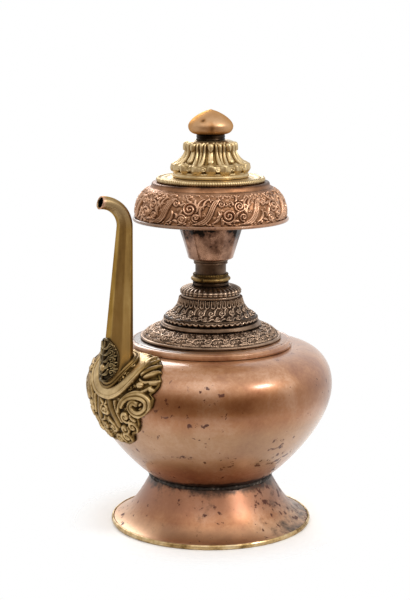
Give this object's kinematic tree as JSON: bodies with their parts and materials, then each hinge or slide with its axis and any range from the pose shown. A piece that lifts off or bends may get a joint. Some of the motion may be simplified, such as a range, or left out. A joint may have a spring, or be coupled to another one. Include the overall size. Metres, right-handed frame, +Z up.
{
  "type": "ritual ewer",
  "caption": "Copper ritual ewer with a flared foot, bent brass spout, lotus neck mouldings, chased collar and a lift-off brass lotus lid.",
  "frame": {"origin": "on the axis of the ewer, at the plane the foot stands on", "axes": "+Z up along the axis of the ewer, spout towards -X, mirror plane XZ"},
  "size_m": [0.1501, 0.147, 0.25],
  "materials": {
    "raised_copper": "satin polished copper",
    "chased_copper": "aged chased copper",
    "blackened_copper": "blackened copper",
    "turned_brass": "worn satin brass",
    "cast_brass": "dull aged brass",
    "dark_solder": "dark brazing seam"
  },
  "bodies": {
    "ewer": {"foot_rim": "turned_brass", "foot": "raised_copper", "foot_solder_seam": "dark_solder", "body": "raised_copper", "shoulder_ring": "raised_copper", "chased_disc": "chased_copper", "disc_bead": "raised_copper", "lotus_bell": "blackened_copper", "petal_cap": "blackened_copper", "neck_ferrule": "cast_brass", "neck_ring": "turned_brass", "neck_tube": "chased_copper", "neck_bead": "blackened_copper", "cup": "raised_copper", "flange": "chased_copper", "flange_rim": "raised_copper", "mouth_collar": "raised_copper", "spout": "cast_brass", "spout_collar": "cast_brass", "spout_escutcheon": "cast_brass", "spout_leaf": "blackened_copper", "leaf_boss": "turned_brass"},
    "lid": {"lid_plate": "turned_brass", "lid_lotus": "turned_brass", "knob_collar": "blackened_copper", "knob": "raised_copper", "lid_plug": "turned_brass", "knob_tang": "cast_brass", "tang_washer": "cast_brass"}
  },
  "joints": [
    {"name": "lid_lift", "type": "slide", "parent": "ewer", "child": "lid", "axis": [0, 0, 1], "range_m": [0, 0.06]}
  ]
}
